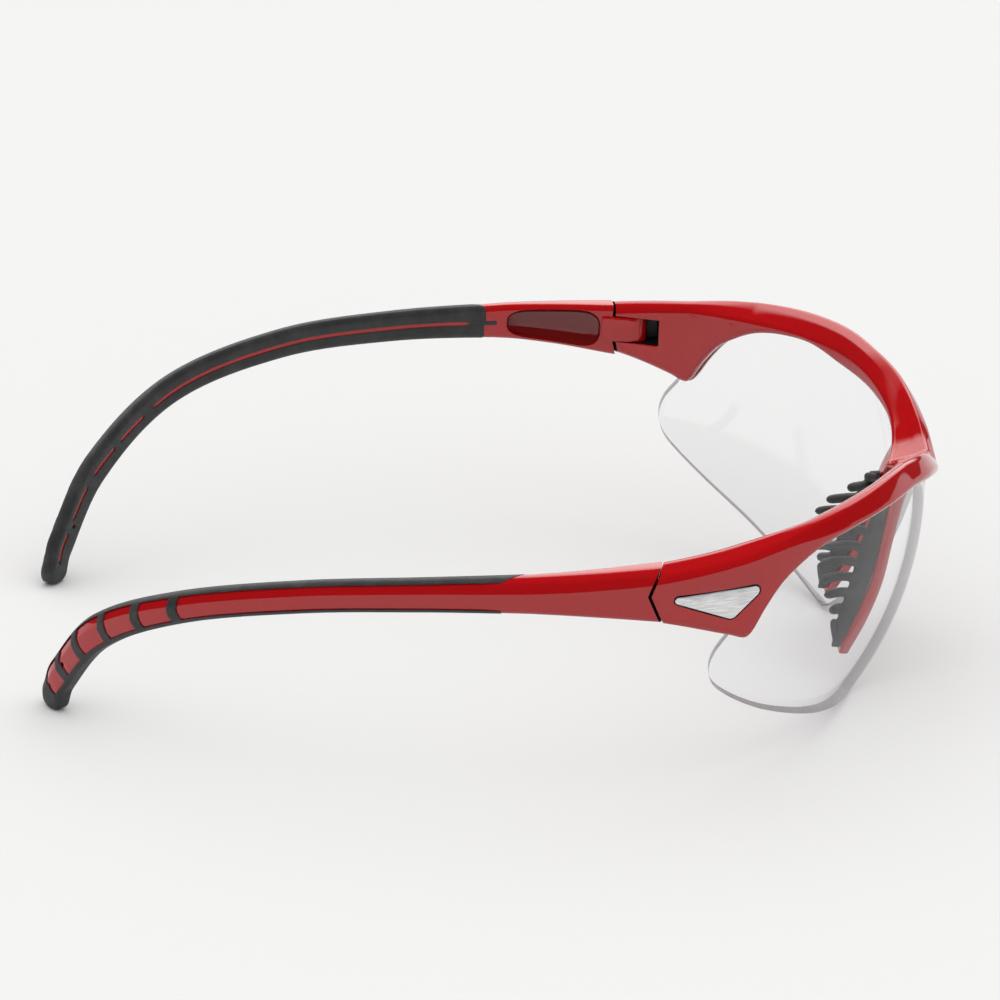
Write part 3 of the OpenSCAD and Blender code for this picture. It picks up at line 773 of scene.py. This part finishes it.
def lens():
    """Clear shield with its nose notch."""
    obj = lens_blank("lens", 0, 0)
    half = through(NOTCH, 120)
    outline = np.vstack([half, (half * [1, -1])[::-1][1:]])
    notch = loft("notch", [[(x, y, z) for z, y in outline] for x in (LENS_X, LENS_X + 80)])
    # The notch's edge faces get the same painted shade.
    combine(obj, [paint(notch, EDGE_SHADE_CLEAR)])
    finish_edges(obj, LENS_ROUND, 40, 3)
    dress(obj, "front", "lens")


def badge(name, side):
    """Brushed plate in its dark recess."""
    plate = badge_solid("badge_plate_" + name, side, badge_outline(0), FRONT_R_OUT - BADGE_DEPTH,
                        FRONT_R_OUT + BADGE_STAND)
    paint(plate, BADGE_METAL)
    finish_edges(plate, BADGE_ROUND, 40, 3)
    dress(plate, "front", "badge_plate_" + name)


# ---- Temples ----

S_FINE = np.arange(PATH_START, PATH_END + 0.001, PATH_STEP)


def path_tables():
    """Places, directions, outward and upward normals along the temple's centre line."""
    p = np.stack([curve(PATH, S_FINE, c) for c in (1, 2, 3)], 1)
    ahead = np.stack([curve(PATH, S_FINE + 0.5, c) - curve(PATH, S_FINE - 0.5, c) for c in (1, 2, 3)], 1)
    d = ahead / np.linalg.norm(ahead, axis=1)[:, None]
    o = np.stack([d[:, 1], -d[:, 0], np.zeros(len(d))], 1)
    o /= np.linalg.norm(o, axis=1)[:, None]
    return p, d, o, np.cross(o, d)


PATH_P, PATH_D, PATH_O, PATH_U = path_tables()


def temple_at(s, out, up):
    """Point at distance s along the temple, moved outwards and up, for arrays of equal shape."""
    s, out, up = (np.asarray(v, float) for v in np.broadcast_arrays(s, out, up))
    inside = np.minimum(s, PATH_END)

    def read(table):
        return np.stack([np.interp(inside, S_FINE, table[:, c]) for c in range(3)], -1)

    return (read(PATH_P) + out[..., None] * read(PATH_O) + up[..., None] * read(PATH_U)
            + (s - inside)[..., None] * PATH_D[-1])


def half_sizes(s):
    """Half thickness, half height and the outer crease's depth below the top."""
    s = min(s, PATH_END)
    return float(curve(TEMPLE_T, s)) / 2, float(curve(TEMPLE_H, s)) / 2, float(curve(TEMPLE_DROP, s))


def tip_share(s):
    """Share of the full section that is left in the domed tip."""
    return 1.0 if s <= PATH_END else math.sqrt(max(0.02, 1 - ((s - PATH_END) / TIP_R) ** 2))


def skin(s, sink=0.0):
    """Temple section in (outwards, up): flat top, eased shoulder, outer crease and rounded bottom."""
    k = tip_share(s)
    t, h, drop = half_sizes(s)
    t = t * (TIP_FLAT + TIP_ROUND * k) - sink
    h = h * k - sink
    drop = drop * k
    e = min(CORNER, 0.45 * h)
    low_corners = [(t, -h + e), (t - 0.8 * e, -h), (-t + 0.8 * e, -h), (-t, -h + e)]
    top_corners = [(-t, h - e), (-t + 0.9 * e, h)]
    plain = [(*p, CORNER_EASE) for p in low_corners + top_corners]
    shoulder = [(t - 0.9 * drop, h, 0.5), (t - 0.35 * drop, h - 0.3 * drop, 0.6)]
    crease = (t, h - drop, CREASE_EASE)
    return eased([*plain, *shoulder, crease])


def temple_ring(profile, s, side):
    profile = np.asarray(profile, float)
    return mirrored(temple_at(np.full(len(profile), s), profile[:, 0], profile[:, 1]), side)


def temple_block(name, side, columns, edge):
    """Closed block bent along the temple. edge(t) gives, for t from 0 to 1, arrays s, inner, outer, up."""
    rings = []
    for t in np.linspace(0, 1, columns):
        s, inner, outer, up = edge(t)
        near = temple_at(s, outer, up)
        far = temple_at(s, inner, up)
        rings.append(mirrored(np.vstack([near, far[::-1]]), side))
    return loft(name, rings)


ROWS = np.linspace(-1, 1, 15)


def band_curve(share):
    """How far towards the tip a band bulges at a share of the half height."""
    return BAND_BULGE * (1 - np.clip(share + 0.15, -1, 1) ** 2)


def channel(side):
    """Room for the core inside the grip, closed to the outside."""
    def edge(t):
        s = GRIP_START - CHANNEL_LEAD + t * (CORE_END - GRIP_START + CHANNEL_LEAD)
        tt, h, drop = half_sizes(s)
        up = ROWS * (h - CHANNEL_TOP)
        outer = tt - CHANNEL_SIDE - np.maximum(0, up - (h - drop)) * LEAN
        return np.full(len(up), s), -tt + GRIP_WALL, outer, up
    return temple_block("channel", side, 60, edge)


def window(side, start, end, columns):
    """Opening in the grip's outer face between two bands."""
    def edge(t):
        base = start + t * (end - start)
        tt, h, drop = half_sizes(base)
        low, high = -h + RIM_LOW, h - RIM_TOP
        up = (low + high) / 2 + ROWS * (high - low) / 2
        s = base + band_curve(ROWS) * (1 if start > GRIP_START else t)
        inner = tt - WINDOW_DEPTH - np.maximum(0, up - (h - drop)) * LEAN
        return s, inner, tt + 2, up
    return temple_block("window", side, columns, edge)


def grip_front_cuts(side):
    """Slanted front ends of the grip's top and bottom strips."""
    tools = []
    tt, h, _ = half_sizes(STRIP_STATION)
    out = -tt - 0.4 + (2 * tt + 1.2) * np.linspace(0, 1, 12)
    front = np.full(len(out), GRIP_START - 2)
    for name, sign, start, reach in STRIP_ENDS:
        slant = start + reach * np.clip((out + tt) / (1.45 * tt), 0, 1) ** 1.5
        rings = []
        for up in (sign * 0.4, sign * (h + 1.5)):
            ups = np.full(len(out), up)
            ring = np.vstack([temple_at(front, out, ups), temple_at(slant, out, ups)[::-1]])
            rings.append(mirrored(ring, side))
        tools.append(loft(name, rings))
    return tools


def cord_hole(side):
    """Round bore across the temple near its tip."""
    centre = temple_at(CORD_PLACE, 0, 0)
    o = temple_at(CORD_PLACE, 1, 0) - centre
    d = np.cross(o, (0, 0, 1.0))
    q = np.linspace(0, 2 * math.pi, 40, endpoint=False)[:, None]
    ring = CORD_D / 2 * (np.cos(q) * d + np.sin(q) * np.array([0, 0, 1.0]))
    return loft("cord", [mirrored(centre + o * r + ring, side) for r in (-6, 6)])


def inner_line(side, start, end):
    """Slot in the grip's inner wall where the core shows as a thin line."""
    rise = np.linspace(-1, 1, 9)

    def edge(t):
        round_end = math.sqrt(max(0.0, 1 - (2 * t - 1) ** 40))
        s = start + t * (end - start)
        tt, _, _ = half_sizes(s)
        shift = share_between(s, *LINE_SHIFT)
        up = shift + rise * LINE_W / 2 * max(round_end, 0.3)
        return np.full(len(up), s), -tt - 1, -tt + GRIP_WALL + 0.1, up
    return temple_block("line", side, max(12, int((end - start) * 1.2)), edge)


def temple_grip(name, side):
    """Soft rubber over the rear of the temple, with openings in its outer and inner faces."""
    dome = PATH_END + TIP_R * np.sin(np.radians(np.linspace(0, 84, 14)))
    stations = np.concatenate([np.arange(GRIP_START, PATH_END, 0.8), dome])
    obj = loft("temple_grip_" + name, [temple_ring(skin(s, -GRIP_PROUD), s, side) for s in stations])
    cuts = [channel(side), cord_hole(side)] + grip_front_cuts(side)
    ends = [GRIP_START - 3] + [b - BAND_BULGE + BAND_W / 2 for b in BANDS]
    starts = [b - BAND_BULGE - BAND_W / 2 for b in BANDS] + [CORE_END + 1.2 - BAND_BULGE]
    cuts += [window(side, a, b, 80 if b - a > 20 else 14) for a, b in zip(ends, starts)]
    cuts += [inner_line(side, a, b) for a, b in INNER_LINES]
    return combine(obj, cuts)


def hollow(side):
    """Long bowl in the temple's inner face."""
    start, end = HOLLOW
    rise = np.linspace(-1, 1, 17)
    rings = []
    for t in np.linspace(0.004, 0.996, 60):
        s = start + t * (end - start)
        tt, h, _ = half_sizes(s)
        full = (1 - abs(2 * t - 1) ** HOLLOW_END_POWER) ** (1 / 2.4)
        up = -0.1 + rise * (h - HOLLOW_MARGIN) * full
        floor = -tt + HOLLOW_DEPTH * full * (1 - np.abs(rise) ** HOLLOW_RISE_POWER) ** 0.6
        near = temple_at(s, -tt - 1.5, up)
        far = temple_at(s, np.maximum(floor, -tt - 1.4), up)
        rings.append(mirrored(np.vstack([near, far[::-1]]), side))
    return loft("hollow", rings)


def tongue(side):
    """The part of the temple that turns about the screw."""
    centre = (PIN_X, side * PIN_Y)
    low, high = SLOT_Z - TONGUE_H / 2, SLOT_Z + TONGUE_H / 2
    ys = sorted((side * (PIN_Y - TONGUE_R), side * (PIN_Y + TONGUE_R)))
    return [drum("tongue_round", centre, TONGUE_R, low, high),
            brick("tongue_bar", (PIN_X - TONGUE_BAR, ys[0], low), (PIN_X, ys[1], high))]


def temple(name, side):
    """Red core with tongue and hollow, and the grip over it."""
    grip = temple_grip(name, side)
    stations = np.arange(CORE_START, CORE_END + 1.4, 0.7)
    sinks = np.interp(stations, *zip(*CORE_SINKS))
    core = loft("temple_core_" + name, [temple_ring(skin(s, k), s, side) for s, k in zip(stations, sinks)])
    paint(core, TEMPLE_RED)
    # The temple's end face at the joint is painted near-black: painted shade for the dark gap.
    keep = paint(behind_split("keep", -SPLIT_GAP / 2), DARK_RIM_AND_SHADE)
    low_box = brick("rest", (-120, -100, -10), (KEEP_X + 0.01, 100, 60))
    combine(keep, [paint(low_box, TEMPLE_RED)], "UNION")
    combine(core, [keep], "INTERSECT")
    combine(core, [paint(t, TEMPLE_RED) for t in tongue(side)], "UNION")
    pin_hole = drum("pin_hole", (PIN_X, side * PIN_Y), SHANK_D / 2 + PIN_PLAY, SLOT_Z - 6, SLOT_Z + 6)
    # The bowl's faces take the darker lacquer: painted shade inside it.
    cuts = [paint(pin_hole, TEMPLE_RED), paint(hollow(side), HOLLOW_SHADE_RED), paint(cord_hole(side), TEMPLE_RED)]
    combine(core, cuts)
    paint(grip, GRIP_RUBBER)
    finish_edges(core, CORE_ROUND)
    finish_edges(grip, GRIP_ROUND)
    dress(core, name + "_temple", "temple_core_" + name)
    dress(grip, name + "_temple", "temple_grip_" + name)


# ---- Hinge screws ----

def hinge_screw(name, side):
    """Screw from below with a slotted head."""
    centre = (PIN_X, side * PIN_Y)
    bevel = 0.25
    axis = 0.05
    slot_w = 0.4
    slot_depth = 0.45
    slot_reach = 3
    bottom = SCREW_SEAT - HEAD_H
    head = [(axis, bottom), (HEAD_D / 2 - bevel, bottom), (HEAD_D / 2, bottom + bevel),
            (HEAD_D / 2, SCREW_SEAT)]
    shank = [(SHANK_D / 2, SCREW_SEAT), (SHANK_D / 2, SCREW_TOP - bevel), (SHANK_D / 2 - bevel, SCREW_TOP),
             (axis, SCREW_TOP)]
    profile = head + shank
    obj = loft("hinge_screw_" + name, [disc(centre, r, z, 48) for r, z in profile])
    groove = brick("groove", (PIN_X - slot_reach, centre[1] - slot_w / 2, bottom - 1),
                   (PIN_X + slot_reach, centre[1] + slot_w / 2, bottom + slot_depth))
    combine(obj, [groove])
    paint(obj, SCREW_STEEL)
    finish_edges(obj, SCREW_ROUND)
    dress(obj, "front", "hinge_screw_" + name)


# ---- Nose pads ----

def finger(points, widths, heights, side, count=20):
    """Rounded finger through points, with an elliptical section and domed ends."""
    t = np.linspace(0, 1, count)
    rows = [(i / (len(points) - 1), *p) for i, p in enumerate(points)]
    line = np.stack([curve(rows, t, c) for c in (1, 2, 3)], 1)
    ahead = np.gradient(line, axis=0)
    ahead /= np.linalg.norm(ahead, axis=1)[:, None]
    across = np.cross(ahead, (0, 0, 1.0))
    across /= np.linalg.norm(across, axis=1)[:, None]
    up = np.cross(across, ahead)
    dome = np.sqrt(np.clip(1 - np.abs(2 * t - 1) ** 6, 0.02, 1))
    w = np.interp(t, [0, 1], widths) / 2 * dome
    h = np.interp(t, [0, 1], heights) / 2 * dome
    q = np.linspace(0, 2 * math.pi, 18, endpoint=False)[:, None]
    return loft("finger", [mirrored(line[i] + np.cos(q) * across[i] * w[i] + np.sin(q) * up[i] * h[i], side)
                           for i in range(count)])


def nose_pad(name, side):
    """Comb-shaped pad: a web on the back of the nose arm, and soft fins, melted into one skin."""
    rings = []
    for z in np.linspace(PAD_LOW, PAD_TOP, 50):
        x = float(curve(ARM, z, 1) - curve(ARM, z, 4)) - PAD_SINK
        y = float(curve(ARM, z, 2)) - PAD_SHIFT
        back = x - float(curve(PAD_REACH, z))
        corners = [(x, y - PAD_ROOT), (x, y + PAD_ROOT), (back, y + PAD_END), (back, y - PAD_END)]
        flat = eased([(*p, 0.3) for p in corners], 4)
        rings.append(mirrored([(p[0], p[1], z) for p in flat], side))
    obj = loft("nose_pad_" + name, rings)
    fins = []
    for k in range(FIN_COUNT):
        z = FIN_TOP - k * FIN_PITCH
        root_z = min(z, FIN_ROOT_TOP)
        end_x = float(curve(FIN_END_X, z))
        root_x = max(float(curve(ARM, root_z, 1)) - FIN_ROOT_BACK, end_x + FIN_SHORTEST)
        root = np.array([root_x, float(curve(ARM, root_z, 2)) - FIN_ROOT_SHIFT, root_z])
        end = np.array([end_x + 0.8, FIN_END_Y + FIN_STEP_Y * k, z - 0.2])
        middle = (root + end) / 2 + np.array(FIN_SAG)
        fins.append(finger([root, middle, end], FIN_WIDTHS, FIN_HEIGHTS, side))
    fins.append(finger(PAD_TAIL, PAD_TAIL_SIZES, PAD_TAIL_SIZES, side))
    combine(obj, fins, "UNION")
    mod = obj.modifiers.new("remesh", "REMESH")
    mod.mode = "VOXEL"
    mod.voxel_size = PAD_VOXEL * MM
    mod = obj.modifiers.new("smooth", "CORRECTIVE_SMOOTH")
    mod.iterations = 6
    mod.use_only_smooth = True
    bake(obj)
    paint(obj, PAD_RUBBER)
    obj.data.shade_smooth()
    dress(obj, "front", "nose_pad_" + name)


# ---- Studio ----

# Softbox: radiance, and the angles above the far horizon between which it starts and ends
BOX_LIGHT = 2.7
ROOM_DARK = 0.06
BOX_FROM = (6, 14)
BOX_TO = (56, 68)
BOX_ENDS = (0.55, 0.66)
# Fill light for matt surfaces, from the horizon to overhead
SOFT_LIGHT = (0.1, 2.6)
# Camera: angles in degrees, then millimetres
CAMERA_AZIMUTH = -4.136
CAMERA_ELEVATION = 23.261
CAMERA_ROLL = -2.161
CAMERA_DISTANCE = 1538.5
CAMERA_TARGET = (2.05, 0.0, 31.0)
CAMERA_LENS = 288


def floor():
    """Pale paper, large enough to fill the picture."""
    size = 6000
    steps = 40
    xs = np.linspace(-size / 2, size / 2, steps)
    verts = [(x, y, 0) for x in xs for y in xs]
    faces = [(i * steps + j, (i + 1) * steps + j, (i + 1) * steps + j + 1, i * steps + j + 1)
             for i in range(steps - 1) for j in range(steps - 1)]
    obj = new_object("floor", verts, faces)
    mat, tree, bsdf = nodes_of("floor_paper")
    tone = noise(tree, place_of(tree), 3, 2.0)
    base = blend_colours(tree, tone, (0.515, 0.516, 0.518), (0.525, 0.526, 0.528))
    tree.links.new(base, bsdf.inputs["Base Color"])
    bsdf.inputs["Roughness"].default_value = 0.9
    bsdf.inputs["Specular IOR Level"].default_value = 0.1
    paint(obj, mat)


def world():
    """Reflections see a softbox beyond the object, matt surfaces a smooth sky and the camera pale grey."""
    scene = bpy.context.scene
    scene.world = bpy.data.worlds.new("studio")
    scene.world.use_nodes = True
    tree = scene.world.node_tree
    ground = tree.nodes["Background"]
    coord = add(tree, "ShaderNodeTexCoord")
    split = add(tree, "ShaderNodeSeparateXYZ")
    tree.links.new(coord.outputs["Generated"], split.inputs["Vector"])
    height = add(tree, "ShaderNodeMath", operation="ARCTAN2")
    tree.links.new(split.outputs["Z"], height.inputs[0])
    tree.links.new(split.outputs["Y"], height.inputs[1])
    width = add(tree, "ShaderNodeMath", operation="ABSOLUTE")
    tree.links.new(split.outputs["X"], width.inputs[0])
    low_side = ramp(tree, height.outputs["Value"], 0.0, 1.0, *(math.radians(v) for v in BOX_FROM))
    high_side = ramp(tree, height.outputs["Value"], 1.0, 0.0, *(math.radians(v) for v in BOX_TO))
    ends = ramp(tree, width.outputs["Value"], 1.0, 0.0, *BOX_ENDS)
    part = add(tree, "ShaderNodeMath", operation="MULTIPLY")
    tree.links.new(low_side, part.inputs[0])
    tree.links.new(high_side, part.inputs[1])
    whole = add(tree, "ShaderNodeMath", operation="MULTIPLY")
    tree.links.new(part.outputs["Value"], whole.inputs[0])
    tree.links.new(ends, whole.inputs[1])
    mirrored_light = ramp(tree, whole.outputs["Value"], ROOM_DARK, BOX_LIGHT, 0.0, 1.0)
    soft_light = ramp(tree, split.outputs["Z"], *SOFT_LIGHT, 0.0, 1.0)
    path = add(tree, "ShaderNodeLightPath")
    pick = add(tree, "ShaderNodeMix", data_type="FLOAT")
    tree.links.new(path.outputs["Is Glossy Ray"], pick.inputs[0])
    tree.links.new(soft_light, pick.inputs[2])
    tree.links.new(mirrored_light, pick.inputs[3])
    tree.links.new(pick.outputs[0], ground.inputs["Strength"])
    scene.world.cycles.sampling_method = "NONE"
    ground.inputs["Color"].default_value = (1, 0.995, 0.985, 1)
    seen = add(tree, "ShaderNodeBackground")
    seen.inputs["Color"].default_value = (0.87, 0.87, 0.875, 1)
    mix = add(tree, "ShaderNodeMixShader")
    tree.links.new(path.outputs["Is Camera Ray"], mix.inputs["Fac"])
    tree.links.new(ground.outputs["Background"], mix.inputs[1])
    tree.links.new(seen.outputs["Background"], mix.inputs[2])
    tree.links.new(mix.outputs["Shader"], tree.nodes["World Output"].inputs["Surface"])


def camera():
    """Long lens from the wearer's right, a little above, as in the photo."""
    az, el, roll = (math.radians(v) for v in (CAMERA_AZIMUTH, CAMERA_ELEVATION, CAMERA_ROLL))
    back = Vector((math.sin(az) * math.cos(el), -math.cos(az) * math.cos(el), math.sin(el)))
    level = Vector((math.cos(az), math.sin(az), 0))
    rise = back.cross(level)
    right = math.cos(roll) * level - math.sin(roll) * rise
    up = math.cos(roll) * rise + math.sin(roll) * level
    place = (Vector(CAMERA_TARGET) + CAMERA_DISTANCE * back) * MM
    data = bpy.data.cameras.new("camera")
    data.lens = CAMERA_LENS
    data.sensor_width = 36
    data.clip_start = 0.05
    data.clip_end = 20
    obj = bpy.data.objects.new("camera", data)
    bpy.context.scene.collection.objects.link(obj)
    obj.matrix_world = Matrix((right, up, back)).transposed().to_4x4()
    obj.location = place
    bpy.context.scene.camera = obj


front_frame()
lens()
for side_name, side_sign in SIDES.items():
    badge(side_name, side_sign)
    temple(side_name, side_sign)
    hinge_screw(side_name, side_sign)
    nose_pad(side_name, side_sign)
floor()
world()
camera()
bpy.context.scene.view_settings.view_transform = "Standard"
